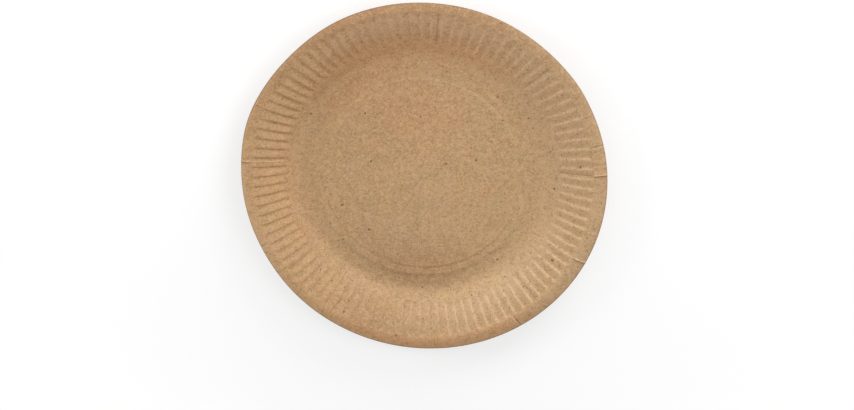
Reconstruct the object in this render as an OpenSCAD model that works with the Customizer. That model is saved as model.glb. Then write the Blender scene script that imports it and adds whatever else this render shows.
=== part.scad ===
// Round paper plate with a fluted rim, pressed from one disc of board.
// Units are millimetres. The plate lies face up on its foot ring at z = 0.
// The cut edge is centred on the Z axis, and the board has one thickness all over.

/* [Plate] */

// Diameter over the cut edge
plate_d = 230; // [200:1:260]
// Height from the foot ring to the top of the rim
plate_h = 14.9; // [12.5:0.1:18]
// Thickness of the board
board_t = 0.5; // [0.35:0.05:0.8]
// Distance of the pressed form from the middle of the cut disc
press_shift = 2.4; // [0:0.1:3]

/* [Floor] */

// Height of the centre panel over the foot ring
panel_rise = 0.56; // [0.4:0.02:1.5]
// Width of the flat foot ring that the plate stands on
foot_w = 4.3; // [3:0.1:8]
// Width of the slope between the centre panel and the foot ring
step_w = 4.2; // [2.5:0.1:6]
// Distance of the pressed line from the edge of the centre panel
line_inset = 2; // [1:0.5:10]
// Width of the pressed line
line_w = 2; // [1.2:0.1:3]
// Height that the panel steps down by over the pressed line
line_fall = 0.16; // [0.1:0.02:0.3]

/* [Wall] */

// Slope of the wall in its steepest, straight part, degrees
wall_deg = 32; // [28:1:34]
// Slope to which the wall has eased where the rim bends over, degrees
top_deg = 16; // [12:1:20]
// Radius of the bend between the floor and the wall
floor_bend = 18; // [10:1:20]
// Radius of the bow by which the wall eases
wall_bow = 63; // [40:1:70]
// Radius of the bend over the top of the rim
rim_bend = 10; // [5:0.5:12]

/* [Rim] */

// Width of the plain border from the top of the rim to the cut edge
border_w = 5.2; // [4.5:0.1:9]
// Slope to which the border turns down, degrees
border_deg = 17; // [10:1:30]

/* [Flutes] */

// Number of flutes round the rim
flute_n = 100; // [60:1:104]
// Length of a flute along the radius
flute_len = 22.1; // [15:0.1:22.5]
// Depth of the pockets between the ridges
flute_depth = 0.8; // [0.3:0.1:1.2]
// Distance of the flutes' outer ends from the top of the rim
flute_inset = 1.9; // [0.5:0.1:2.5]
// Length over which a pocket shallows out towards the floor
ramp_in = 5; // [2:0.5:6]
// Length over which a pocket shallows out towards the border
ramp_out = 2; // [1:0.25:3]
// Share of one flute's width that its steep side takes
steep_share = 0.26; // [0.2:0.01:0.4]
// Share of one flute's width that its flat ridge takes
ridge_share = 0.1; // [0.06:0.01:0.2]
// Share of one flute's width that its flat bottom takes
pocket_share = 0.08; // [0.06:0.01:0.2]

/* [Hidden] */

kraft = [0.74, 0.60, 0.44];

// Directions of the press shift and of the first ridge, chosen to match the photographed plate
press_turn = 140;
first_ridge_turn = 1.95;

// Radii on the upper face, measured from the middle of the pressed form
edge_r = plate_d / 2;
top_r = edge_r - border_w;
rim_rise = plate_h - board_t;
floor_bend_w = floor_bend * sin(wall_deg);
floor_bend_rise = floor_bend * (1 - cos(wall_deg));
bow_w = wall_bow * (sin(wall_deg) - sin(top_deg));
bow_rise = wall_bow * (cos(top_deg) - cos(wall_deg));
rim_bend_w = rim_bend * sin(top_deg);
rim_bend_rise = rim_bend * (1 - cos(top_deg));
border_bend_w = rim_bend * sin(border_deg);
straight_w = (rim_rise - floor_bend_rise - bow_rise - rim_bend_rise) / tan(wall_deg);
bow_out_r = top_r - rim_bend_w;
bow_in_r = bow_out_r - bow_w;
floor_r = bow_in_r - straight_w - floor_bend_w;
foot_r = floor_r - foot_w;
panel_r = foot_r - step_w;
line_r = panel_r - line_inset - line_w / 2;
flute_out_r = top_r - flute_inset;
flute_in_r = flute_out_r - flute_len;

// Numbers of rings: plain wall below the flutes, full-depth flutes, turned-down border
wall_steps = 5;
flute_steps = 3;
border_steps = 2;

press_middle = press_shift * [cos(press_turn), sin(press_turn)];

// Height of an arc of radius r over its lowest point, at the distance x from it
function arc_rise(r, x) = r - sqrt(r * r - x * x);

// Height of the upper face at the radius r, without the flutes
function floor_height(r) =
    r <= line_r - line_w / 2 ? panel_rise
    : r < line_r + line_w / 2 ? panel_rise - line_fall * ((r - line_r) / line_w + 0.5)
    : r <= panel_r ? panel_rise - line_fall
    : r < foot_r ? (panel_rise - line_fall) * (foot_r - r) / step_w
    : 0;

function wall_height(r) =
    r < floor_r + floor_bend_w ? arc_rise(floor_bend, r - floor_r)
    : r < bow_in_r ? floor_bend_rise + (r - floor_r - floor_bend_w) * tan(wall_deg)
    : rim_rise - rim_bend_rise + wall_bow * (1 - cos(top_deg))
        - arc_rise(wall_bow, bow_out_r + wall_bow * sin(top_deg) - r);

function rim_height(r) =
    r < top_r + border_bend_w ? rim_rise - arc_rise(rim_bend, abs(r - top_r))
    : rim_rise - arc_rise(rim_bend, border_bend_w) - (r - top_r - border_bend_w) * tan(border_deg);

function face_height(r) =
    board_t + (r <= floor_r ? floor_height(r) : r < bow_out_r ? wall_height(r) : rim_height(r));

// Slope angle of the upper face at the radius r, from the heights a little to each side
probe = 0.2;
function face_slope(r) = atan((face_height(r + probe) - face_height(r - probe)) / (2 * probe));

// Radius of the cut edge from the middle of the pressed form, in the direction u
function cut_radius(u) =
    let (along = press_middle * u)
    sqrt(along * along - press_middle * press_middle + edge_r * edge_r) - along;

// One point of the board: side 0 is the upper face, side 1 the underside.
// The underside lies one board thickness away at right angles to the slope.
function board_point(turn, r, dip, side) =
    let (
        u = [cos(turn), sin(turn)],
        slope = face_slope(r),
        out = r + side * board_t * sin(slope),
        high = face_height(r) - dip - side * board_t * cos(slope),
        flat = press_middle + out * u
    )
    [flat.x, flat.y, high];

// Turns of the ring points within one flute: ridge end, pocket start, pocket end, ridge start
flute_turns = [0, steep_share, steep_share + pocket_share, 1 - ridge_share];
flute_dips = [0, 1, 1, 0];
pitch = 360 / flute_n;

// A plain ring has one point for each flute, a fluted ring has four
function plain_ring(r, side) =
    [for (i = [0 : flute_n - 1]) board_point(first_ridge_turn + i * pitch, r, 0, side)];

function fluted_ring(r, side) =
    [for (i = [0 : flute_n - 1], k = [0 : 3])
        board_point(first_ridge_turn + (i + flute_turns[k]) * pitch, r, flute_depth * flute_dips[k], side)];

// A border ring lies at the share s of the way from the top of the rim to the cut edge
function border_ring(s, side) =
    [for (i = [0 : flute_n - 1])
        let (
            turn = first_ridge_turn + i * pitch,
            cut = cut_radius([cos(turn), sin(turn)])
        )
        board_point(turn, top_r + s * (cut - top_r), 0, side)];

// Radii of the rings, from the middle out
inner_radii = concat(
    [line_r - line_w / 2, line_r + line_w / 2, panel_r, foot_r],
    [for (k = [0 : wall_steps]) floor_r + (flute_in_r - floor_r) * k / wall_steps]
);
flute_radii = [
    for (k = [0 : flute_steps])
        flute_in_r + ramp_in + (flute_len - ramp_in - ramp_out) * k / flute_steps
];
border_shares = [for (k = [0 : border_steps]) k / border_steps];

// All rings of one face, in order from the middle to the cut edge
function face_rings(side) = concat(
    [for (r = inner_radii) plain_ring(r, side)],
    [for (r = flute_radii) fluted_ring(r, side)],
    [plain_ring(flute_out_r, side)],
    [for (s = border_shares) border_ring(s, side)]
);

// Faces between two rings of n and m points, where n and m are equal or one is four times the other.
// Seen from above they run anticlockwise from ring a outwards to ring b.
function band_faces(a, n, b, m) =
    n == m ? [
        for (i = [0 : n - 1], half = [0, 1])
            let (j = (i + 1) % n)
            half == 0 ? [a + i, b + i, b + j] : [a + i, b + j, a + j]
    ]
    : n < m ? [
        for (i = [0 : n - 1], k = [0 : 4])
            let (j = (i + 1) % n, first = 4 * i)
            k == 4 ? [a + i, b + (first + 4) % m, a + j] : [a + i, b + first + k, b + (first + k + 1) % m]
    ]
    : [
        for (i = [0 : m - 1], k = [0 : 4])
            let (j = (i + 1) % m, first = 4 * i)
            k == 4 ? [a + first, b + i, b + j] : [a + first + k, b + j, a + (first + k + 1) % n]
    ];

function turned_over(faces) = [for (f = faces) [f[0], f[2], f[1]]];

// Place of each ring's first point in the joined list of points
function starts(rings, k = 0, at = 0) =
    k == len(rings) ? [] : concat([at], starts(rings, k + 1, at + len(rings[k])));

function joined(lists) = [for (l = lists, item = l) item];

module plate() {
    upper = face_rings(0);
    under = face_rings(1);
    rings = concat(upper, under);
    at = starts(rings);
    n = len(upper);
    upper_faces = [for (k = [0 : n - 2]) band_faces(at[k], len(rings[k]), at[k + 1], len(rings[k + 1]))];
    under_faces = [
        for (k = [n : 2 * n - 2])
            turned_over(band_faces(at[k], len(rings[k]), at[k + 1], len(rings[k + 1])))
    ];
    cut_faces = band_faces(at[n - 1], flute_n, at[2 * n - 1], flute_n);
    panel_face = [for (i = [0 : flute_n - 1]) i];
    panel_under = [for (i = [flute_n - 1 : -1 : 0]) at[n] + i];
    outward = concat([panel_face], joined(upper_faces), joined(under_faces), cut_faces, [panel_under]);
    // OpenSCAD wants each face clockwise when seen from outside
    clockwise = [for (f = outward) [for (i = [len(f) - 1 : -1 : 0]) f[i]]];
    color(kraft) polyhedron(points = joined(rings), faces = clockwise, convexity = 6);
}

plate();
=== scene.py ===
"""Looks of a round kraft paper plate with a fluted rim, built round its fixed solid model.

The plate is one sheet of board, pressed in one stroke. It is made here as one closed surface:
a section carried round the pressed form's own middle, with the flutes, the small press creases
and the uneven lie of the rim worked out as functions of the turn and the radius.
"""

from math import cos, radians, sin

import bpy
import numpy as np
from bpy.props import FloatProperty, FloatVectorProperty, IntProperty, PointerProperty
from mathutils import Matrix, Vector


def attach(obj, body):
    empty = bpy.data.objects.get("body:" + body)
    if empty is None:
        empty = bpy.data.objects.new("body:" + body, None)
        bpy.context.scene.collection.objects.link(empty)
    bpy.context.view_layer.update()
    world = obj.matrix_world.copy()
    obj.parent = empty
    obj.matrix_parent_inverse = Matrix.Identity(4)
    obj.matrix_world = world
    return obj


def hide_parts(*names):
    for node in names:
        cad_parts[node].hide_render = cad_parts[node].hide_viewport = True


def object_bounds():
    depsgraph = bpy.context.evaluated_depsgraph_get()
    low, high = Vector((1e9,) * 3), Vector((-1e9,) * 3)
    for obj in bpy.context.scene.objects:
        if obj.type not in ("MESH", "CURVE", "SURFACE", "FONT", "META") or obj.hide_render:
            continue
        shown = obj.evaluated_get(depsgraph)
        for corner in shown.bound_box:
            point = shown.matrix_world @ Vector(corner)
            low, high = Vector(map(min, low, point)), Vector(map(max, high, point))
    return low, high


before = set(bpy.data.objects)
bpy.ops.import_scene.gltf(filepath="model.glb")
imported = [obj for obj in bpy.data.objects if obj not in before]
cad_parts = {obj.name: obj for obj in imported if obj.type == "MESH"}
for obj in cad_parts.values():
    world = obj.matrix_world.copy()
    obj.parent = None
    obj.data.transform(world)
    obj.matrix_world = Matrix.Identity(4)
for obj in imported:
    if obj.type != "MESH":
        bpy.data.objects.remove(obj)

bl_info = {
    "name": "Pressed Paper Plate",
    "version": (1, 0, 0),
    "blender": (4, 5, 0),
    "location": "3D View > Sidebar > Paper Plate",
    "description": "Builds a fluted kraft paper plate with its board finish and a plain studio",
    "category": "Add Mesh",
}

MM = 0.001
PLATE_NODE = "plate"
BODY = "root"
WHITE = (1.0, 1.0, 1.0, 1.0)

cad_low, cad_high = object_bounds()
cad_size = cad_high - cad_low

# Share of a ramp's length that each of its rounded ends takes
RAMP_ROUNDING = 0.25

# Number of radii at which the slopes of the wall and rim are summed up
WALL_SUMS = 1000

# Slope of the wall and rim over the radius in mm, as a share of the steepest slope
WALL_SLOPES = (
    (75.0, 0.0), (77.5, 0.2), (80.0, 0.52), (82.5, 0.82), (85.0, 0.96), (88.0, 1.0), (92.0, 0.95),
    (96.0, 0.81), (100.0, 0.66), (104.0, 0.55), (107.0, 0.44), (108.5, 0.25), (109.8, 0.0),
    (111.5, -0.22), (115.0, -0.5), (117.0, -0.6),
)

# Distance of the lip and the groove beside the embossed line from its middle, and their width,
# as shares of the line's width
LIP_OFF = 0.6
LIP_WIDTH = 0.45

# Bulges of the cut edge: turn in degrees, width in degrees and height in mm
EDGE_BULGES = ((33, 7, 0.3), (70, 12, 0.3), (132, 13, -0.75), (160, 12, 1.1), (206, 14, -0.55))
# Radius in mm from which they grow
BULGE_START = 100

# How the press drove the flutes: turn in degrees, share of the full depth at their inner and outer
# ends, and share of a flute's width that its steep side takes
FLUTE_SHAPES = (
    (0, 0.90, 0.95, 0.24), (30, 0.85, 0.80, 0.26), (45, 0.95, 0.92, 0.26), (60, 1.70, 0.38, 0.26),
    (90, 1.45, 0.95, 0.26), (120, 1.05, 0.72, 0.22), (150, 1.38, 0.42, 0.21), (180, 0.88, 0.72, 0.20),
    (210, 0.85, 0.78, 0.20), (240, 0.95, 0.38, 0.20), (270, 1.50, 0.85, 0.17), (285, 1.55, 0.72, 0.16),
    (300, 0.72, 1.00, 0.17), (318, 0.52, 1.05, 0.20), (332, 0.56, 0.90, 0.23),
)

# Patches of tone: turn in degrees, radius in mm, width of each, and strength. They are partly the
# board's own tone and partly painted light and shade. Burnished board is darker, partly painted shade
# where the rim shades the foot ring and the panel; warm board is redder, partly painted warm bounce
# light in the shaded wall and under the border; bloomed board is paler, partly a painted sheen on the
# walls and border; rosy board is pinker; and the ridge highlights are palest, painted highlights on lit
# ridges.
BURNISHED_AND_SHADED = (
    (55, 112.3, 52, 3.4, 0.72), (118, 109.7, 34, 3.0, 0.95), (84, 110.1, 28, 2.1, 0.38),
    (250, 109.5, 22, 4.5, 0.26), (126, 72.3, 28, 4, 0.58), (128, 84, 16, 5, 0.50),
    (125, 46, 42, 22, 0.24), (268, 60, 28, 12, 0.62), (290, 63.5, 22, 1.6, 0.36),
    (262, 74.5, 26, 5, 0.48), (252, 100, 24, 9, 0.50), (248, 46, 26, 14, 0.24),
    (258, 62, 24, 7, 0.36), (215, 50, 35, 8, 0.12), (128, 73, 20, 3, 0.14),
    (122, 67.3, 24, 2.2, 0.12), (98, 110.8, 18, 2.6, 0.16),
)
# Warm patches: partly redder board, partly painted warm bounce light on the shaded wall and under the
# border
WARM_AND_BOUNCE = (
    (95, 86, 40, 9, 0.95), (62, 85, 16, 7, 0.40), (110, 95, 55, 22, 0.30), (90, 38, 45, 24, 0.40),
    (190, 88, 27, 14, 0.36), (276, 112.6, 34, 4.4, 1.0), (110, 110, 45, 4, 0.25),
    (270, 62, 28, 9, 0.50), (300, 112, 14, 4, 0.60), (210, 110.5, 40, 4, 0.35),
    (125, 71, 28, 4, 0.35), (92, 106, 20, 5, 0.30), (240, 103, 16, 8, 0.25), (120, 61, 24, 7, 0.22),
)
# Bloomed patches: partly paler board, partly a painted sheen where the walls and border face the lamps
BLOOMED_AND_SHEEN = (
    (5, 95, 65, 14, 0.50), (305, 90, 30, 10, 0.35), (88, 101, 28, 6, 0.48), (55, 83, 50, 6, 0.12),
    (203, 112, 26, 3.5, 0.35), (330, 112.8, 26, 4, 0.66), (286, 112.8, 9, 3.5, 0.18),
    (290, 60, 60, 45, 0.10), (15, 82, 25, 6, 0.15), (10, 107, 50, 3, 0.20),
    (48, 64.1, 36, 0.8, 0.40), (248, 46, 26, 14, 0.25), (60, 79, 45, 2, 0.15),
    (96, 103, 14, 9, 0.20), (340, 66, 20, 6, 0.20),
)
ROSY = ((88, 99, 36, 9, 0.36),)
# Painted highlights along the creases of the ridges that face the light
RIDGE_HIGHLIGHTS = ((286, 91, 13, 8, 0.9), (268, 90, 9, 6, 0.6))

# Painted warm shade, redder, on the flutes' steep sides where they face away from the light: turn in
# degrees, width in degrees and strength
STEEP_SHADE = ((168, 38, 0.75), (235, 22, 0.3))

# Painted highlights on those sides where they face the light: turn in degrees, width in degrees and
# strength
STEEP_HIGHLIGHTS = ((300, 36, 0.6),)

# Where the dark line along the cut is left out: turn in degrees, width in degrees and share
CLEAN_CUT = ((192, 30, 0.55), (75, 22, 0.4), (20, 40, 0.3))

# Middle and width of a ridge's crease and of a steep side across a flute, as shares of its width
RIDGE_CREASE = (0.07, 0.09)
STEEP_SIDE = (0.1, 0.1)

# Where the flutes slip sideways: turn in degrees, width in degrees, and slip as a share of a flute
FLUTE_SLIPS = (
    (55, 32, -0.11), (130, 25, 0.08), (235, 22, 0.1), (274, 18, 0.12),
    (0, 42, 0.045), (185, 32, 0.045), (318, 30, 0.04),
)

# Press creases: turn in degrees, and height in mm in the fluted band and at the cut edge, where a
# groove is negative and 0 is no crease
CREASES = (
    (3.6, -0.32, 0.50),
    (13.2, 0.00, -0.36),
    (23.6, 0.00, 0.15),
    (42.8, -0.24, -0.10),
    (82.8, -0.32, -0.12),
    (92.6, -0.12, 0.22),
    (103.3, 0.00, 0.18),
    (153.2, 0.00, 0.20),
    (173.3, 0.22, 0.55),
    (203.6, 0.00, -0.16),
    (214.4, -0.22, -0.18),
    (224.0, 0.00, -0.16),
    (233.6, 0.00, 0.16),
    (264.8, 0.00, -0.20),
    (274.3, 0.00, -0.34),
    (283.4, 0.00, 0.16),
    (303.8, 0.00, -0.45),
    (313.6, -0.16, -0.18),
    (333.6, 0.00, 0.60),
    (343.6, 0.00, 0.16),
)
# Half of a crease's width in mm
CREASE_HALF_WIDTH = 0.34
# Length in mm over which creases fade in, from the flutes' inner ends
CREASE_FADE = 2
# Where they begin to pass over to their height at the cut edge, in mm from the flutes' outer ends,
# and the length in mm that they take for it
CREASE_PASS_FROM = -1
CREASE_PASS_OVER = 3

# The painted shade along a crease: its distance from a ridge and its width, as shares of the crease's
# half width, and its darkness for each mm of the crease's height. It lies on the ridge's side towards
# -Y, turned from the light.
FOLD_SHADE_BESIDE = 1.5
FOLD_SHADE_WIDTH = 0.8
FOLD_SHADE_DARKNESS = 2

# Where the columns of points stand within one flute, as shares of its width
FLUTE_COLUMNS = (0.0, 0.065, 0.13, 0.195, 0.26, 0.34, 0.52, 0.72, 0.9)
# Across a crease, as shares of its half width at a radius in mm
CREASE_COLUMNS = (-1.6, -0.8, 0.0, 0.8, 1.6)
CREASE_COLUMN_R = 110
# Least turn between two columns, in degrees
LEAST_GAP = 0.06

# Where the rings of points stand. On the plain panel, as radii in mm
PANEL_RINGS = (15, 35, 52, 59)
# Across the embossed line, from its middle outwards, as shares of its width
LINE_RINGS = (-1.5, -1.1, -0.8, -0.5, -0.25, 0, 0.25, 0.5, 0.8, 1.1, 1.5)
# Across the step, from the panel's edge outwards, as shares of its width
STEP_RINGS = (-0.175, 0, 0.15, 0.3, 0.5, 0.7, 0.85, 1)
# From the foot ring to 1 mm before the flutes, as a number of rings
WALL_RINGS = 8
# Over the flutes, in mm outwards from their inner ends and in mm inwards from their outer ends
FLUTE_IN_RINGS = (0, 1, 2, 3, 4, 5.2, 8, 12)
FLUTE_OUT_RINGS = (5, 3, 2.3, 1.7, 1.1, 0.5, -0.2, -0.9)
# Over the top of the rim, in mm outwards from it
TOP_RINGS = (-0.2, 0.6, 1.2, 1.7)
# From there to the line along the cut edge, as shares of the way
BORDER_RINGS = (0.1, 0.4, 0.7, 1)
# Round each corner of the cut edge, as turns in degrees
CORNER_RINGS = (0, 30, 60, 90)

# The board's grain: features in a metre, and its weight in the tone and in the roughness
GRAIN_SCALE = 1500
GRAIN_TONE = 2.8
GRAIN_ROUGHNESS = 0.25

# Softer mottles of the tone: features in a metre and weight
MOTTLES = ((600, 1.3), (230, 0.5), (90, 0.35))

# Clouds of hue: features in a metre, the turn in radians that sets the greyer ones apart from the
# redder ones, and the contrast of both
RED_CLOUDS = 75
GREY_CLOUDS = 80
GREY_TURN = 1.0
CLOUD_CONTRAST = 2.4

# Fibres: features in a metre, direction in degrees, and the least value of the breaking noise at
# which they are kept
PALE_FIBRES = ((330, 20, 0.02), (300, 105, 0.03))
DARK_FIBRES = ((310, -50, 0.02), (350, 65, 0.03))
# Half width of a fibre in values of its noise, how often longer than wide the noise's features are,
# and how much they wander
FIBRE_WIDTH = 0.022
FIBRE_STRETCH = 3.0
FIBRE_WANDER = 0.6
# Features of the breaking noise for each of the fibres' own, and the step in its values over which
# a fibre ends
BREAK_SHARE = 0.7
BREAK_STEP = 0.06

# Bark specks: cells in a metre, largest radius in mm, and share of the cells that have a speck
LARGE_SPECKS = (60, 1.15, 0.25)
SMALL_SPECKS = (230, 0.85, 0.31)
# Smallest speck as a share of the largest, and a speck's evenly dark middle as a share of its radius
LEAST_SPECK = 0.4
SPECK_MIDDLE = 0.5

# Width of the camera's sensor in mm, and the least distance in metres at which it sees a thing
SENSOR_WIDTH = 36
NEAREST_SEEN = 0.01


class PlateForm(bpy.types.PropertyGroup):
    """Sizes of the pressed plate"""

    board_t: FloatProperty(
        name="Board", description="Thickness of the board", default=0.5 * MM, unit="LENGTH")
    plate_h: FloatProperty(
        name="Height", description="Height of the rim over the table", default=14.9 * MM, unit="LENGTH")
    shift: FloatProperty(
        name="Press Shift", description="Distance of the pressed form from the middle of the cut disc",
        default=2.4 * MM, unit="LENGTH")
    shift_turn: FloatProperty(
        name="Shift Direction", description="Direction of the press shift",
        default=radians(140), subtype="ANGLE")
    panel_rise: FloatProperty(
        name="Panel Rise", description="Mean height of the step from the foot ring to the panel",
        default=0.375 * MM, unit="LENGTH")
    panel_tilt: FloatProperty(
        name="Panel Tilt", description="Share of the step's height that it gains on one side and loses "
        "on the other", default=0.7, subtype="FACTOR")
    tilt_turn: FloatProperty(
        name="Tilt Direction", description="Direction of the panel's low side",
        default=radians(110), subtype="ANGLE")
    panel_r: FloatProperty(
        name="Panel Radius", description="Radius of the centre panel", default=67.3 * MM, unit="LENGTH")
    step_w: FloatProperty(
        name="Step", description="Width of the slope between the panel and the foot ring",
        default=4.0 * MM, unit="LENGTH")
    swell: FloatProperty(
        name="Swell", description="Height of the low swell along the top of the step",
        default=0.07 * MM, unit="LENGTH")
    swell_out: FloatProperty(
        name="Swell Offset", description="Distance of the swell's crest outside the panel's edge",
        default=0.8 * MM, unit="LENGTH")
    swell_w: FloatProperty(
        name="Swell Width", description="Distance from its crest over which the swell dies away",
        default=1.8 * MM, unit="LENGTH")
    line_r: FloatProperty(
        name="Line Radius", description="Radius of the embossed line", default=63.5 * MM, unit="LENGTH")
    line_w: FloatProperty(
        name="Line Width", description="Width of the embossed line", default=1.4 * MM, unit="LENGTH")
    line_fall: FloatProperty(
        name="Line Fall", description="Height by which the board falls outwards at the embossed line",
        default=0.19 * MM, unit="LENGTH")
    line_lip: FloatProperty(
        name="Line Lip", description="Height of the lip inside the embossed line and depth of the "
        "groove outside it", default=0.05 * MM, unit="LENGTH")
    line_shift: FloatProperty(
        name="Line Shift", description="Distance of the embossed line's middle from the pressed form's",
        default=0.6 * MM, unit="LENGTH")
    line_turn: FloatProperty(
        name="Line Shift Direction", description="Direction of the embossed line's shift",
        default=radians(60), subtype="ANGLE")
    flutes: IntProperty(
        name="Flutes", description="Number of flutes round the rim", default=100)
    flute_in_r: FloatProperty(
        name="Flute Start", description="Radius of the flutes' inner ends",
        default=85.8 * MM, unit="LENGTH")
    flute_out_r: FloatProperty(
        name="Flute End", description="Radius of the flutes' outer ends",
        default=107.9 * MM, unit="LENGTH")
    flute_shift: FloatProperty(
        name="Flute Shift", description="Shift of the flutes' ends towards +X",
        default=0.8 * MM, unit="LENGTH")
    flute_depth: FloatProperty(
        name="Flute Depth", description="Depth of the pockets between the ridges",
        default=0.8 * MM, unit="LENGTH")
    ramp_in: FloatProperty(
        name="Inner Ramp", description="Length over which a pocket shallows out towards the floor",
        default=5.0 * MM, unit="LENGTH")
    ramp_out: FloatProperty(
        name="Outer Ramp", description="Length over which a pocket shallows out towards the border",
        default=2.0 * MM, unit="LENGTH")
    first_ridge: FloatProperty(
        name="First Ridge", description="Turn at which the first ridge ends",
        default=radians(1.95), subtype="ANGLE")
    ridge_share: FloatProperty(
        name="Ridge", description="Share of one flute's width that its flat ridge takes",
        default=0.1, subtype="FACTOR")
    pocket_share: FloatProperty(
        name="Pocket", description="Share of one flute's width that its flat bottom takes",
        default=0.08, subtype="FACTOR")
    # The edge line is a darker colour along the cut edge
    edge_line: FloatProperty(
        name="Edge Line", description="Width of the darker line that the die leaves along the cut edge",
        default=0.7 * MM, unit="LENGTH")
    cut_rounding: FloatProperty(
        name="Cut Rounding", description="Radius to which the cut edge is worn",
        default=0.12 * MM, unit="LENGTH")


class BoardFinish(bpy.types.PropertyGroup):
    """Colours and grain of the board"""

    olive_kraft: FloatVectorProperty(
        name="Olive Kraft", description="Colour of the board where its clouds are more olive",
        subtype="COLOR", size=3, default=(0.474, 0.316, 0.134))
    rosy_kraft: FloatVectorProperty(
        name="Rosy Kraft", description="Colour of the board where its clouds are more rosy",
        subtype="COLOR", size=3, default=(0.545, 0.311, 0.142))
    grey_kraft: FloatVectorProperty(
        name="Grey Kraft", description="Colour of the board where its clouds are greyer",
        subtype="COLOR", size=3, default=(0.512, 0.318, 0.197))
    # Redder colour of the warm patches, partly painted warm bounce light in shaded parts and under the
    # border
    warm_kraft_and_bounce: FloatVectorProperty(
        name="Warm Kraft", description="Colour of the board where its fibres are redder",
        subtype="COLOR", size=3, default=(0.585, 0.295, 0.126))
    # Paler colour of the bloomed patches, partly a painted sheen
    bloom_and_sheen: FloatVectorProperty(
        name="Bloom", description="Colour of the board where its pressed face looks paler",
        subtype="COLOR", size=3, default=(0.62, 0.42, 0.238))
    # Colour of the painted highlights on the lit ridges
    ridge_highlight_colour: FloatVectorProperty(
        name="Worn Ridges", description="Colour of the board along the creases of worn ridges",
        subtype="COLOR", size=3, default=(0.78, 0.58, 0.36))
    # Colour of the painted warm shade on steep sides that face away from the light
    steep_shade_kraft: FloatVectorProperty(
        name="Drawn Kraft", description="Colour of the board on steep sides that the press has drawn",
        subtype="COLOR", size=3, default=(0.55, 0.295, 0.095))
    # Colour of the painted highlights on steep sides that face the light
    steep_highlight_kraft: FloatVectorProperty(
        name="Rubbed Kraft", description="Colour of the board on steep sides that are rubbed",
        subtype="COLOR", size=3, default=(0.565, 0.385, 0.255))
    rose_kraft: FloatVectorProperty(
        name="Rose Kraft", description="Colour of the board where it is more pink",
        subtype="COLOR", size=3, default=(0.575, 0.308, 0.190))
    pale_fibre: FloatVectorProperty(
        name="Pale Fibres", description="Colour of the pale fibres", subtype="COLOR", size=3,
        default=(0.64, 0.43, 0.235))
    dark_fibre: FloatVectorProperty(
        name="Dark Fibres", description="Colour of the dark fibres", subtype="COLOR", size=3,
        default=(0.30, 0.165, 0.068))
    # This colour serves both the painted shade along the creases and the dark line along the cut edge
    edge: FloatVectorProperty(
        name="Cut Edge", description="Colour of the crushed fibres along the cut edge and in creases",
        subtype="COLOR", size=3, default=(0.19, 0.115, 0.06))
    speck: FloatVectorProperty(
        name="Specks", description="Colour of the bark specks", subtype="COLOR", size=3,
        default=(0.15, 0.07, 0.012))
    # Darker colour of the burnished patches, partly painted shade where the rim shades the foot ring and
    # panel
    burnish_and_shade: FloatVectorProperty(
        name="Burnish", description="Colour of the board where the press has burnished it",
        subtype="COLOR", size=3, default=(0.270, 0.150, 0.069))
    roughness: FloatProperty(
        name="Roughness", description="Roughness of the board", default=0.62, subtype="FACTOR")
    tooth: FloatProperty(
        name="Tooth", description="Depth of the paper's tooth", default=0.05 * MM, unit="LENGTH")
    tooth_share: FloatProperty(
        name="Tooth Strength", description="Share of the tooth's slopes that shows in the light",
        default=0.5, subtype="FACTOR")


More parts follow.
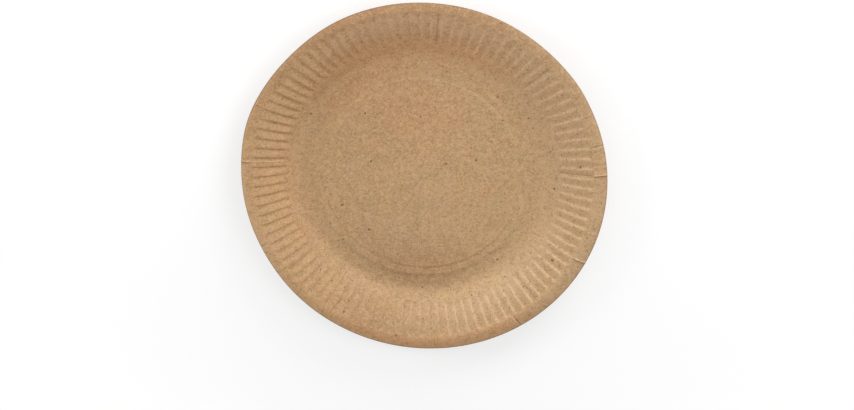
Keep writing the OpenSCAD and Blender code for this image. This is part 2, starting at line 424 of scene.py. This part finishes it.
class StudioSetup(bpy.types.PropertyGroup):
    """Camera, lamps and floor"""

    camera_spot: FloatVectorProperty(
        name="Camera", description="Place of the camera", unit="LENGTH", size=3,
        default=(66.6 * MM, 236.7 * MM, 666.4 * MM))
    camera_aim: FloatVectorProperty(
        name="Aim", description="Point of the floor in the middle of the picture", unit="LENGTH", size=3,
        default=(1.57 * MM, -18.15 * MM, 0))
    camera_roll: FloatProperty(
        name="Roll", description="Turn of the camera about its line of sight",
        default=radians(-0.93), subtype="ANGLE")
    lens: FloatProperty(
        name="Lens", description="Focal length in millimetres on a sensor 36 mm wide", default=46.9)
    key_turn: FloatProperty(
        name="Key Direction", description="Direction that the key lamp shines from",
        default=radians(60), subtype="ANGLE")
    key_height: FloatProperty(
        name="Key Height", description="Height of the key lamp over the floor, as an angle",
        default=radians(15), subtype="ANGLE")
    key_share: FloatProperty(
        name="Key Share", description="Share of the floor's light that the key lamp gives",
        default=0.185, subtype="FACTOR")
    side_turn: FloatProperty(
        name="Side Lamp Direction", description="Direction that the side lamp shines from",
        default=radians(163), subtype="ANGLE")
    side_height: FloatProperty(
        name="Side Lamp Height", description="Height of the side lamp over the floor, as an angle",
        default=radians(20), subtype="ANGLE")
    side_share: FloatProperty(
        name="Side Lamp Share", description="Share of the floor's light that the side lamp gives",
        default=0.15, subtype="FACTOR")
    high_turn: FloatProperty(
        name="High Lamp Direction", description="Direction that the high lamp shines from",
        default=radians(25), subtype="ANGLE")
    high_height: FloatProperty(
        name="High Lamp Height", description="Height of the high lamp over the floor, as an angle",
        default=radians(45), subtype="ANGLE")
    high_share: FloatProperty(
        name="High Lamp Share", description="Share of the floor's light that the high lamp gives",
        default=0.165, subtype="FACTOR")
    fill_share: FloatProperty(
        name="Fill Share", description="Share of the floor's light that comes evenly from all sides",
        default=0.49, subtype="FACTOR")
    lamp_distance: FloatProperty(
        name="Lamp Distance", description="Distance of each lamp from the plate",
        default=0.8, unit="LENGTH")
    lamp_size: FloatProperty(
        name="Lamp Size", description="Diameter of each lamp", default=0.4, unit="LENGTH")
    floor_white: FloatProperty(
        name="Floor", description="Reflectance of the floor", default=0.8, subtype="FACTOR")
    seen_white: FloatProperty(
        name="Seen White", description="Brightness of the floor for the camera, a little over white so "
        "that it stays clean", default=1.03)
    shadow_depth: FloatProperty(
        name="Shadow Depth", description="Share of the seen white that shadows can take away",
        default=0.45, subtype="FACTOR")
    white_from: FloatProperty(
        name="Plain White From", description="Distance from the middle where plain white sets in",
        default=0.15, unit="LENGTH")
    white_over: FloatProperty(
        name="Plain White Over", description="Distance over which plain white sets in",
        default=0.15, unit="LENGTH")
    floor_size: FloatProperty(
        name="Floor Size", description="Side of the square floor", default=6.0, unit="LENGTH")


def eased(share):
    """A ramp from 0 to 1 over a share from 0 to 1: a parabola, a straight line and a parabola,
    with the same slope where they meet."""
    s = np.clip(share, 0, 1)
    steepest = 1 / (1 - RAMP_ROUNDING)
    start = steepest * s * s / (2 * RAMP_ROUNDING)
    end = 1 - steepest * (1 - s) ** 2 / (2 * RAMP_ROUNDING)
    middle = steepest * (s - RAMP_ROUNDING / 2)
    return np.where(s < RAMP_ROUNDING, start, np.where(s > 1 - RAMP_ROUNDING, end, middle))


def bell(value, width):
    """Gaussian bell: exp(-(value / width)^2)."""
    return np.exp(-(value / width) ** 2)


def turn_between(turn, other):
    """Turn from other to turn, taken the short way round, in radians."""
    return np.angle(np.exp(1j * (turn - other)))


def bells(turn, table):
    """Sum of bells over the turn, each with its turn in degrees, width in degrees and height."""
    total = np.zeros_like(turn)
    for bell_turn, width, height in table:
        total = total + height * bell(turn_between(turn, radians(bell_turn)), radians(width))
    return total


class Section:
    """The plate's section: the upper face's height over the radius and the turn."""

    def __init__(self, form, edge_r):
        """The wall's and rim's heights are the slope shares summed up over the radius, each by the
        mean of two neighbours, and scaled so that the rim reaches its height."""
        self.form = form
        self.edge_r = edge_r
        self.middle = form.shift * np.array([cos(form.shift_turn), sin(form.shift_turn)])
        radii, shares = np.array(WALL_SLOPES).T
        self.fine_r = np.linspace(radii[0], radii[-1], WALL_SUMS) * MM
        share = np.interp(self.fine_r, radii * MM, shares)
        step = self.fine_r[1] - self.fine_r[0]
        rise = np.concatenate([[0], np.cumsum((share[1:] + share[:-1]) * step / 2)])
        self.fine_rise = rise * (form.plate_h - form.board_t) / rise.max()
        self.foot_r = self.fine_r[0]
        self.top_r = radii[shares == 0][-1] * MM

    def line_radius(self, turn):
        """Radius of the embossed line, whose middle lies a little off the pressed form's: its own
        radius and the shift times the cosine of the turn from the shift's direction."""
        form = self.form
        return form.line_r + form.line_shift * np.cos(turn - form.line_turn)

    def height(self, turn, r):
        """Height of the upper face without its flutes. Floor: the panel's rise, less on its low side
        and more on the other by a cosine of the turn that grows with the radius, falls over the eased
        step, with a bell-shaped swell along its top. The embossed line is an eased fall with a
        bell-shaped lip inside it and a like groove outside it. Wall and rim: the slope shares summed
        up over the radius."""
        form = self.form
        outward = np.minimum(r / form.panel_r, 1)
        rise = form.panel_rise * (1 - form.panel_tilt * outward * np.cos(turn - form.tilt_turn))
        floor = rise * (1 - eased((r - form.panel_r) / form.step_w))
        floor = floor + form.swell * bell(r - form.panel_r - form.swell_out, form.swell_w)
        off_line = (r - self.line_radius(turn)) / form.line_w
        floor = floor + form.line_fall * (1 - eased(off_line + 0.5))
        lip = bell(off_line + LIP_OFF, LIP_WIDTH)
        groove = bell(off_line - LIP_OFF, LIP_WIDTH)
        floor = floor + form.line_lip * (lip - groove)
        return form.board_t + floor + np.interp(r, self.fine_r, self.fine_rise)

    def slope(self, turn, r):
        """Slope angle of the upper face, from its heights a little to each side."""
        probe = 0.2 * MM
        rise = self.height(turn, r + probe) - self.height(turn, r - probe)
        return np.arctan(rise / (2 * probe))

    def cut_radius(self, turn):
        """Radius of the cut edge seen from the pressed form's middle: the far crossing of a ray
        with the cut circle, whose own middle lies off it by the press shift."""
        along = self.middle[0] * np.cos(turn) + self.middle[1] * np.sin(turn)
        return np.sqrt(along ** 2 - self.middle @ self.middle + self.edge_r ** 2) - along


def flute_shape(section, turn, r):
    """Share of the full depth that the pockets have, and share of a flute's width that its steep
    side takes: both read off over the turn, and the depth evenly between the flutes' two ends."""
    turns, inner, outer, steep = np.array(FLUTE_SHAPES).T
    inner, outer, steep = (
        np.interp(turn, np.radians(turns), values, period=2 * np.pi) for values in (inner, outer, steep))
    form = section.form
    along = np.clip((r - form.flute_in_r) / (form.flute_out_r - form.flute_in_r), 0, 1)
    return inner + (outer - inner) * along, steep


def bell_across(share, middle, width):
    """Bell across a flute whose width is 1, which reaches over into the flutes beside it."""
    return bell((share - middle + 0.5) % 1.0 - 0.5, width)


def flute_dip(section, turn, r):
    """How far the pockets lie below the ridges, as a share of the flutes' full depth, and how near
    each point is to a ridge's crease and to the middle of a steep side. Across a flute the dip is
    an eased fall on its steep side, a flat, an eased rise on its gentle side and a flat ridge,
    times an eased ramp at each end along the radius and the depth's share there. The nearness to
    the crease is a bell at the top of the steep side, and that to the side's middle is another."""
    form = section.form
    depth, steep = flute_shape(section, turn, r)
    share = ((turn - form.first_ridge) * form.flutes / (2 * np.pi) - bells(turn, FLUTE_SLIPS)) % 1.0
    pocket_end = steep + form.pocket_share
    fall = eased(share / steep)
    rise = eased((share - pocket_end) / (1 - form.ridge_share - pocket_end))
    along = r - form.flute_shift * np.cos(turn)
    ramp_in = eased((along - form.flute_in_r) / form.ramp_in)
    ramp_out = eased((form.flute_out_r - along) / form.ramp_out)
    ends = ramp_in * ramp_out
    crease = bell_across(share, *RIDGE_CREASE)
    side = bell_across(share, *STEEP_SIDE)
    return depth * (fall - rise) * ends, crease * ends, side * ends


def crease_relief(section, turn, r):
    """Height of the press creases and the painted shade along them. The height is a narrow bell
    across the turn, that fades in at the inner end of the flutes and passes over to its height at the
    cut edge on the border. The painted shade is a bell beside a ridge, on its side towards -Y that is
    turned from the light, or in the middle of a groove."""
    form = section.form
    height = np.zeros(np.broadcast(turn, r).shape)
    painted_fold_shade = np.zeros(height.shape)
    half = CREASE_HALF_WIDTH * MM
    begun = eased((r - form.flute_in_r) / (CREASE_FADE * MM))
    passed = eased((r - form.flute_out_r - CREASE_PASS_FROM * MM) / (CREASE_PASS_OVER * MM))
    for crease_turn, inner, outer in CREASES:
        away = turn_between(turn, radians(crease_turn)) * r
        rise = (inner + (outer - inner) * passed) * begun
        beside = np.where(rise > 0, np.copysign(FOLD_SHADE_BESIDE * half, cos(radians(crease_turn))), 0)
        height = height + rise * MM * bell(away, half)
        painted_fold_shade = painted_fold_shade + np.abs(rise) * bell(away + beside, FOLD_SHADE_WIDTH * half)
    return height, np.clip(FOLD_SHADE_DARKNESS * painted_fold_shade, 0, 1)


def column_turns(form):
    """Turns of all columns of points: at fixed shares of each flute, slipped sideways with it, and
    a few more across each crease. A column too close to the next one is left out."""
    flute = 2 * np.pi / form.flutes
    starts = form.first_ridge + flute * np.arange(form.flutes)
    regular = (starts[:, None] + flute * np.array(FLUTE_COLUMNS)).ravel()
    regular = regular + flute * bells(regular, FLUTE_SLIPS)
    creases = np.radians([crease[0] for crease in CREASES])
    across = np.array(CREASE_COLUMNS) * CREASE_HALF_WIDTH / CREASE_COLUMN_R
    extra = (creases[:, None] + across).ravel()
    turns = np.sort(np.concatenate([regular, extra]) % (2 * np.pi))
    gap = np.diff(turns, append=turns[0] + 2 * np.pi)
    return turns[gap > radians(LEAST_GAP)]


def ring_rows(section, turns):
    """Radius and depth under the upper face of each ring, for each column: out over the upper face,
    round the cut edge in two quarter circles, and back under the board on every second radius."""
    form = section.form
    even = np.zeros_like(turns)
    panel = np.array(PANEL_RINGS) * MM
    line = section.line_radius(turns) + form.line_w * np.array(LINE_RINGS)[:, None]
    outside = np.concatenate([
        form.panel_r + form.step_w * np.array(STEP_RINGS),
        np.linspace(section.foot_r, form.flute_in_r - MM, WALL_RINGS),
        form.flute_in_r + MM * np.array(FLUTE_IN_RINGS),
        form.flute_out_r - MM * np.array(FLUTE_OUT_RINGS),
        section.top_r + MM * np.array(TOP_RINGS),
    ])
    cut = section.cut_radius(turns)
    start = outside[-1]
    shares = np.array(BORDER_RINGS)[:, None]
    border = start + shares * (cut - form.cut_rounding - form.edge_line - start)
    upper = np.concatenate([panel[:, None] + even, line, outside[:, None] + even, border])
    arc = np.radians(CORNER_RINGS)[:, None]
    corner_r = cut - form.cut_rounding * (1 - np.sin(arc))
    corner_depth = form.cut_rounding * (1 - np.cos(arc)) + even
    under = upper[::-2]
    radii = np.concatenate([upper, corner_r, corner_r[::-1], under])
    depths = np.concatenate([
        np.zeros_like(upper), corner_depth,
        form.board_t - corner_depth[::-1], np.full_like(under, form.board_t),
    ])
    return radii, depths


def edge_bulge(section, turn, r):
    """Distance by which the board bulges outwards: bells over the turn, growing over the rim."""
    start = BULGE_START * MM
    return bells(turn, EDGE_BULGES) * MM * eased((r - start) / (section.edge_r - start))


def tone_patch(turn, r, patches):
    """Strength of a tone, from 0 to 1: bells over the turn and the radius, added up."""
    total = np.zeros(turn.shape)
    for patch_turn, patch_r, turn_width, r_width, strength in patches:
        across = bell(turn_between(turn, radians(patch_turn)), radians(turn_width))
        total = total + strength * across * bell(r - patch_r * MM, r_width * MM)
    return np.clip(total, 0, 1)


def plate_points(section, turns):
    """Points of the closed surface on a grid of rings and columns, and each point's tones. A point
    lies at its depth under the upper face, at right angles to it: it moves outwards by depth times
    sin(slope) and down by depth times cos(slope). The patches of tone fade out through the board."""
    radii, depths = ring_rows(section, turns)
    turn = np.broadcast_to(turns, radii.shape)
    slope = section.slope(turn, radii)
    dip, crease, side = flute_dip(section, turn, radii)
    z = section.height(turn, radii) - section.form.flute_depth * dip
    relief, painted_fold_shade = crease_relief(section, turn, radii)
    z = z + relief - depths * np.cos(slope)
    out = radii + depths * np.sin(slope) + edge_bulge(section, turn, radii)
    x = section.middle[0] + out * np.cos(turn)
    y = section.middle[1] + out * np.sin(turn)
    upper = 1 - depths / section.form.board_t
    from_cut = section.cut_radius(turns) - section.form.cut_rounding - radii
    edge_line = 1 - np.clip(from_cut / section.form.edge_line, 0, 1)
    # Tones: patches partly of the board's own tone and partly painted shade, bounce light and sheen;
    # painted highlights and shade on ridges and steep sides; painted shade along creases; the cut line
    tones = {
        "burnish_and_shade": upper * tone_patch(turn, radii, BURNISHED_AND_SHADED),
        "warmth_and_bounce": upper * tone_patch(turn, radii, WARM_AND_BOUNCE),
        "bloom_and_sheen": upper * tone_patch(turn, radii, BLOOMED_AND_SHEEN),
        "rose": upper * tone_patch(turn, radii, ROSY),
        "ridge_highlight": upper * crease * tone_patch(turn, radii, RIDGE_HIGHLIGHTS),
        "steep_shade": upper * side * bells(turn, STEEP_SHADE),
        "steep_highlight": upper * side * bells(turn, STEEP_HIGHLIGHTS),
        "cut_edge": edge_line * (1 - bells(turn, CLEAN_CUT)),
        "painted_fold_shade": painted_fold_shade,
    }
    return np.stack([x, y, z], -1), tones


def closed_faces(rings, columns):
    """Faces of a grid that is closed round its columns, with a fan to one pole point before the
    first ring and another after the last one. They point outwards for rings that run out over the
    upper face and back under it."""
    index = np.arange(rings * columns).reshape(rings, columns)
    after = np.roll(index, -1, axis=1)
    quads = np.stack([index[:-1], index[1:], after[1:], after[:-1]], -1).reshape(-1, 4)
    upper_pole = rings * columns
    lower_pole = upper_pole + 1
    upper = np.stack([np.full(columns, upper_pole), index[0], after[0]], -1)
    lower = np.stack([np.full(columns, lower_pole), after[-1], index[-1]], -1)
    return quads.tolist() + upper.tolist() + lower.tolist()


def pressed_plate(form):
    """The whole plate as one closed mesh, with its tones stored as attributes for the finish. Its
    cut edge has half the mean width of the solid as its radius."""
    edge_r = (cad_size.x + cad_size.y) / 4
    section = Section(form, edge_r)
    turns = column_turns(form)
    points, tones = plate_points(section, turns)
    rings, columns = points.shape[:2]
    centre = np.array([*section.middle, section.height(0, 0)])
    poles = np.array([centre, centre - np.array([0, 0, form.board_t])])
    vertices = np.concatenate([points.reshape(-1, 3), poles])
    mesh = bpy.data.meshes.new("pressed_plate")
    mesh.from_pydata(vertices.tolist(), [], closed_faces(rings, columns))
    for name, values in tones.items():
        attribute = mesh.attributes.new(name, "FLOAT", "POINT")
        attribute.data.foreach_set("value", np.append(values.ravel(), [0, 0]).astype(np.float32))
    mesh.shade_smooth()
    plate = bpy.data.objects.new("pressed_plate", mesh)
    bpy.context.scene.collection.objects.link(plate)
    return plate


class Number:
    """A node's value output that takes part in sums. Each sum adds a Math node."""

    def __init__(self, finish, socket):
        self.finish = finish
        self.socket = socket

    def math(self, operation, *values):
        node = self.finish.node("ShaderNodeMath", {"operation": operation}, dict(enumerate(values)))
        return Number(self.finish, node.outputs[0])

    def __add__(self, other):
        return self.math("ADD", self, other)

    def __radd__(self, other):
        return self.math("ADD", other, self)

    def __sub__(self, other):
        return self.math("SUBTRACT", self, other)

    def __rsub__(self, other):
        return self.math("SUBTRACT", other, self)

    def __mul__(self, other):
        return self.math("MULTIPLY", self, other)

    def __rmul__(self, other):
        return self.math("MULTIPLY", other, self)

    def __abs__(self):
        return self.math("ABSOLUTE", self)

    def above(self, other):
        return self.math("GREATER_THAN", self, other)


class Finish:
    """The nodes of one material or world."""

    def __init__(self, owner):
        self.owner = owner
        self.owner.use_nodes = True
        self.tree = self.owner.node_tree
        self.tree.nodes.clear()

    def node(self, kind, settings, inputs):
        """Adds a node of a type, with its settings and its sockets' values or links."""
        node = self.tree.nodes.new(kind)
        for name, value in settings.items():
            setattr(node, name, value)
        for name, value in inputs.items():
            value = value.socket if isinstance(value, Number) else value
            if isinstance(value, bpy.types.NodeSocket):
                self.tree.links.new(value, node.inputs[name])
            else:
                node.inputs[name].default_value = value
        return node

    def number(self, kind, settings, inputs, output=0):
        """The same, giving the output as a number for sums."""
        return Number(self, self.node(kind, settings, inputs).outputs[output])

    def ramp(self, value, low, high):
        """Smooth step from 0 at low to 1 at high."""
        return self.number(
            "ShaderNodeMapRange", {"interpolation_type": "SMOOTHSTEP"},
            {"Value": value, "From Min": low, "From Max": high})

    def mixed(self, factor, first, second):
        """Colour between first and second by a factor."""
        node = self.node(
            "ShaderNodeMix", {"data_type": "RGBA"}, {0: factor, 6: first, 7: second})
        return node.outputs[2]

    def attribute(self, name):
        """A value stored on the mesh."""
        return self.number("ShaderNodeAttribute", {"attribute_name": name}, {}, "Fac")

    def shader(self, kind, inputs):
        """The output of a shader node."""
        return self.node(kind, {}, inputs).outputs[0]

    def for_camera(self, others, seen):
        """One shader for the camera and another for all other rays."""
        path = self.node("ShaderNodeLightPath", {}, {})
        return self.shader(
            "ShaderNodeMixShader", {0: path.outputs["Is Camera Ray"], 1: others, 2: seen})


def opaque(colour):
    """A colour with its fourth value."""
    return (*colour, 1.0)


def noise(finish, where, scale, detail=1.0, distortion=0.0):
    """Noise about 0 with roughly scale features in a metre."""
    return finish.number(
        "ShaderNodeTexNoise", {},
        {"Vector": where, "Scale": scale, "Detail": detail, "Distortion": distortion}) - 0.5


def stretched(finish, where, turn, stretch=1.0):
    """Coordinates turned about Z and squeezed along one axis, so that a pattern on them runs long."""
    return finish.node(
        "ShaderNodeMapping", {"vector_type": "POINT"},
        {"Vector": where, "Rotation": (0, 0, turn), "Scale": (1 / stretch, 1, 1)}).outputs[0]


def strands(finish, where, scale, turn, least):
    """Fine fibres: the thin lines where a stretched noise crosses its middle, kept only where a
    second noise is high, so that they break up into short lengths."""
    along = stretched(finish, where, radians(turn), FIBRE_STRETCH)
    line = abs(noise(finish, along, scale, distortion=FIBRE_WANDER))
    thin = 1 - finish.ramp(line, 0.0, FIBRE_WIDTH)
    kept = finish.ramp(noise(finish, where, scale * BREAK_SHARE), least, least + BREAK_STEP)
    return thin * kept


def specks(finish, where, per_metre, radius, share):
    """Round specks at random places: the middle of those cells whose random value is high."""
    cells = finish.node(
        "ShaderNodeTexVoronoi", {"feature": "F1", "voronoi_dimensions": "2D"},
        {"Vector": where, "Scale": per_metre, "Randomness": 1.0})
    chance = finish.node("ShaderNodeSeparateColor", {}, {"Color": cells.outputs["Color"]})
    near = Number(finish, cells.outputs["Distance"])
    size = Number(finish, chance.outputs["Green"]) * (1 - LEAST_SPECK) + LEAST_SPECK
    reach = size * (radius * MM * per_metre)
    dot = 1 - finish.ramp(near, reach * SPECK_MIDDLE, reach)
    return dot * Number(finish, chance.outputs["Red"]).above(1 - share)


def kraft_board(setup):
    """Uncoated kraft board: clouds of hue, patches of tone that are partly the board's own and partly
    painted light and shade, painted shade and highlights on the flutes' steep sides and on lit ridges,
    mottled grain, pale and dark fibres, bark specks, painted shade along the creases, and a dark line
    along the cut."""
    finish = Finish(bpy.data.materials.new("kraft_board"))
    where = finish.node("ShaderNodeTexCoord", {}, {}).outputs["Object"]
    grain = noise(finish, where, GRAIN_SCALE, detail=2.0)
    tone = grain * GRAIN_TONE
    for scale, weight in MOTTLES:
        tone = tone + noise(finish, where, scale) * weight
    redness = noise(finish, where, RED_CLOUDS, detail=2.0) * CLOUD_CONTRAST + 0.5
    turned = stretched(finish, where, GREY_TURN)
    greyness = noise(finish, turned, GREY_CLOUDS, detail=2.0) * CLOUD_CONTRAST + 0.5
    pale = sum(strands(finish, where, *fibres) for fibres in PALE_FIBRES)
    dark = sum(strands(finish, where, *fibres) for fibres in DARK_FIBRES)
    # Where each layer lies, the share by which it covers those under it, and its colour. The tone
    # goes to both sides of 0, and its dark side is taken by a negative share. The patch layers are
    # partly painted shade, bounce light and sheen; those on the ridges and steep sides are painted
    # highlights and painted shade; and the crease layer is painted shade.
    layers = (
        (greyness, 0.5, setup.grey_kraft),
        (finish.attribute("burnish_and_shade"), 1.0, setup.burnish_and_shade),
        (finish.attribute("warmth_and_bounce"), 1.0, setup.warm_kraft_and_bounce),
        (finish.attribute("bloom_and_sheen"), 1.0, setup.bloom_and_sheen),
        (finish.attribute("ridge_highlight"), 0.4, setup.ridge_highlight_colour),
        (finish.attribute("rose"), 1.0, setup.rose_kraft),
        (finish.attribute("steep_shade"), 1.0, setup.steep_shade_kraft),
        (finish.attribute("steep_highlight"), 1.0, setup.steep_highlight_kraft),
        (tone, 1.0, setup.pale_fibre),
        (tone, -1.0, setup.dark_fibre),
        (pale, 0.5, setup.pale_fibre),
        (dark, 0.55, setup.dark_fibre),
        (specks(finish, where, *SMALL_SPECKS), 0.7, setup.dark_fibre),
        (specks(finish, where, *LARGE_SPECKS), 0.85, setup.speck),
        (finish.attribute("painted_fold_shade"), 0.6, setup.edge),
        (finish.attribute("cut_edge"), 0.9, setup.edge),
    )
    colour = finish.mixed(redness, opaque(setup.olive_kraft), opaque(setup.rosy_kraft))
    for lies, share, tint in layers:
        colour = finish.mixed(lies * share, colour, opaque(tint))
    rough = grain * GRAIN_ROUGHNESS + setup.roughness
    bump = finish.node(
        "ShaderNodeBump", {},
        {"Height": tone + pale, "Distance": setup.tooth, "Strength": setup.tooth_share})
    board = finish.shader(
        "ShaderNodeBsdfPrincipled",
        {"Base Color": colour, "Roughness": rough, "Normal": bump.outputs[0]})
    finish.node("ShaderNodeOutputMaterial", {}, {"Surface": board})
    return finish.owner


def white_floor(setup):
    """White matt floor. The camera sees part of it as an even white glow and the rest as lit, so
    that it stays white and keeps the shadow, and further out it sees plain white. All other rays
    meet matt white."""
    finish = Finish(bpy.data.materials.new("white_floor"))
    where = finish.node("ShaderNodeTexCoord", {}, {}).outputs["Object"]
    away = finish.number("ShaderNodeVectorMath", {"operation": "LENGTH"}, {0: where}, "Value")
    lit = finish.shader("ShaderNodeBsdfDiffuse", {"Color": opaque([setup.floor_white] * 3)})
    shaded = finish.shader("ShaderNodeBsdfDiffuse", {"Color": opaque([setup.shadow_depth] * 3)})
    glow = finish.shader(
        "ShaderNodeEmission", {"Color": WHITE, "Strength": setup.seen_white - setup.shadow_depth})
    near = finish.shader("ShaderNodeAddShader", {0: shaded, 1: glow})
    white = finish.shader("ShaderNodeEmission", {"Color": WHITE, "Strength": 1.0})
    far = finish.ramp(away, setup.white_from, setup.white_from + setup.white_over)
    seen = finish.shader("ShaderNodeMixShader", {0: far, 1: near, 2: white})
    finish.node("ShaderNodeOutputMaterial", {}, {"Surface": finish.for_camera(lit, seen)})
    return finish.owner


def soft_fill(setup):
    """World that lights the plate evenly from all sides, and that the camera sees as plain white."""
    finish = Finish(bpy.data.worlds.new("soft_fill"))
    fill = finish.shader("ShaderNodeBackground", {"Color": WHITE, "Strength": setup.fill_share})
    white = finish.shader("ShaderNodeBackground", {"Color": WHITE, "Strength": 1.0})
    finish.node("ShaderNodeOutputWorld", {}, {"Surface": finish.for_camera(fill, white)})
    return finish.owner


def direction(turn, height):
    """Unit vector towards a turn round Z and a height over the floor."""
    return Vector((cos(turn) * cos(height), sin(turn) * cos(height), sin(height)))


def hang_lamp(name, setup, turn, height, share):
    """Round area lamp aimed at the plate. Its power gives the floor the wanted share of light: the
    share times the square of pi and of the lamp's distance, over the sine of its height."""
    lamp = bpy.data.lights.new(name, "AREA")
    lamp.shape = "DISK"
    lamp.size = setup.lamp_size
    lamp.energy = share * np.pi ** 2 * setup.lamp_distance ** 2 / sin(height)
    lamp_object = bpy.data.objects.new(name, lamp)
    towards = direction(turn, height)
    lamp_object.location = towards * setup.lamp_distance
    lamp_object.rotation_euler = towards.to_track_quat("Z", "Y").to_euler()
    bpy.context.scene.collection.objects.link(lamp_object)


class PLATE_OT_press(bpy.types.Operator):
    """Build the fluted plate with its kraft board finish"""

    bl_idname = "paper_plate.press"
    bl_label = "Press Plate"

    def execute(self, context):
        plate = pressed_plate(context.scene.plate_form)
        plate.data.materials.append(kraft_board(context.scene.board_finish))
        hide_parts(PLATE_NODE)
        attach(plate, BODY)
        return {"FINISHED"}


class PLATE_OT_stage(bpy.types.Operator):
    """Set up the white floor, the soft light and the camera"""

    bl_idname = "paper_plate.stage"
    bl_label = "Set Stage"

    def execute(self, context):
        setup = context.scene.studio_setup
        scene = context.scene
        half = setup.floor_size / 2
        mesh = bpy.data.meshes.new("studio_floor")
        corners = [(-half, -half, 0), (half, -half, 0), (half, half, 0), (-half, half, 0)]
        mesh.from_pydata(corners, [], [(0, 1, 2, 3)])
        mesh.materials.append(white_floor(setup))
        floor = bpy.data.objects.new("studio_floor", mesh)
        scene.collection.objects.link(floor)

        hang_lamp("key_lamp", setup, setup.key_turn, setup.key_height, setup.key_share)
        hang_lamp("side_lamp", setup, setup.side_turn, setup.side_height, setup.side_share)
        hang_lamp("high_lamp", setup, setup.high_turn, setup.high_height, setup.high_share)

        scene.world = soft_fill(setup)

        view = bpy.data.cameras.new("picture_camera")
        view.sensor_width = SENSOR_WIDTH
        view.lens = setup.lens
        view.clip_start = NEAREST_SEEN
        camera = bpy.data.objects.new("picture_camera", view)
        spot = Vector(setup.camera_spot)
        back = (spot - Vector(setup.camera_aim)).normalized()
        right = Vector((0, 1, 0)).cross(back).normalized()
        upright = Matrix((right, back.cross(right), back)).transposed()
        turned = upright @ Matrix.Rotation(setup.camera_roll, 3, "Z")
        camera.matrix_world = Matrix.Translation(spot) @ turned.to_4x4()
        scene.collection.objects.link(camera)
        scene.camera = camera
        scene.view_settings.view_transform = "Standard"
        return {"FINISHED"}


class PLATE_PT_sidebar(bpy.types.Panel):
    """Sidebar panel with the plate's steps and sizes"""

    bl_idname = "PLATE_PT_sidebar"
    bl_label = "Paper Plate"
    bl_space_type = "VIEW_3D"
    bl_region_type = "UI"
    bl_category = "Paper Plate"

    def draw(self, context):
        column = self.layout.column()
        for operator in (PLATE_OT_press, PLATE_OT_stage):
            column.operator(operator.bl_idname)
        for group in (context.scene.plate_form, context.scene.board_finish, context.scene.studio_setup):
            box = self.layout.box()
            for name in group.bl_rna.properties.keys():
                if name not in {"rna_type", "name"}:
                    box.prop(group, name)


CLASSES = (PlateForm, BoardFinish, StudioSetup, PLATE_OT_press, PLATE_OT_stage, PLATE_PT_sidebar)


def register():
    for cls in CLASSES:
        bpy.utils.register_class(cls)
    bpy.types.Scene.plate_form = PointerProperty(type=PlateForm)
    bpy.types.Scene.board_finish = PointerProperty(type=BoardFinish)
    bpy.types.Scene.studio_setup = PointerProperty(type=StudioSetup)


def unregister():
    del bpy.types.Scene.studio_setup
    del bpy.types.Scene.board_finish
    del bpy.types.Scene.plate_form
    for cls in reversed(CLASSES):
        bpy.utils.unregister_class(cls)


def main():
    """Registers the classes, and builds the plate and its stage."""
    register()
    bpy.ops.paper_plate.press()
    bpy.ops.paper_plate.stage()


if __name__ == "__main__":
    main()
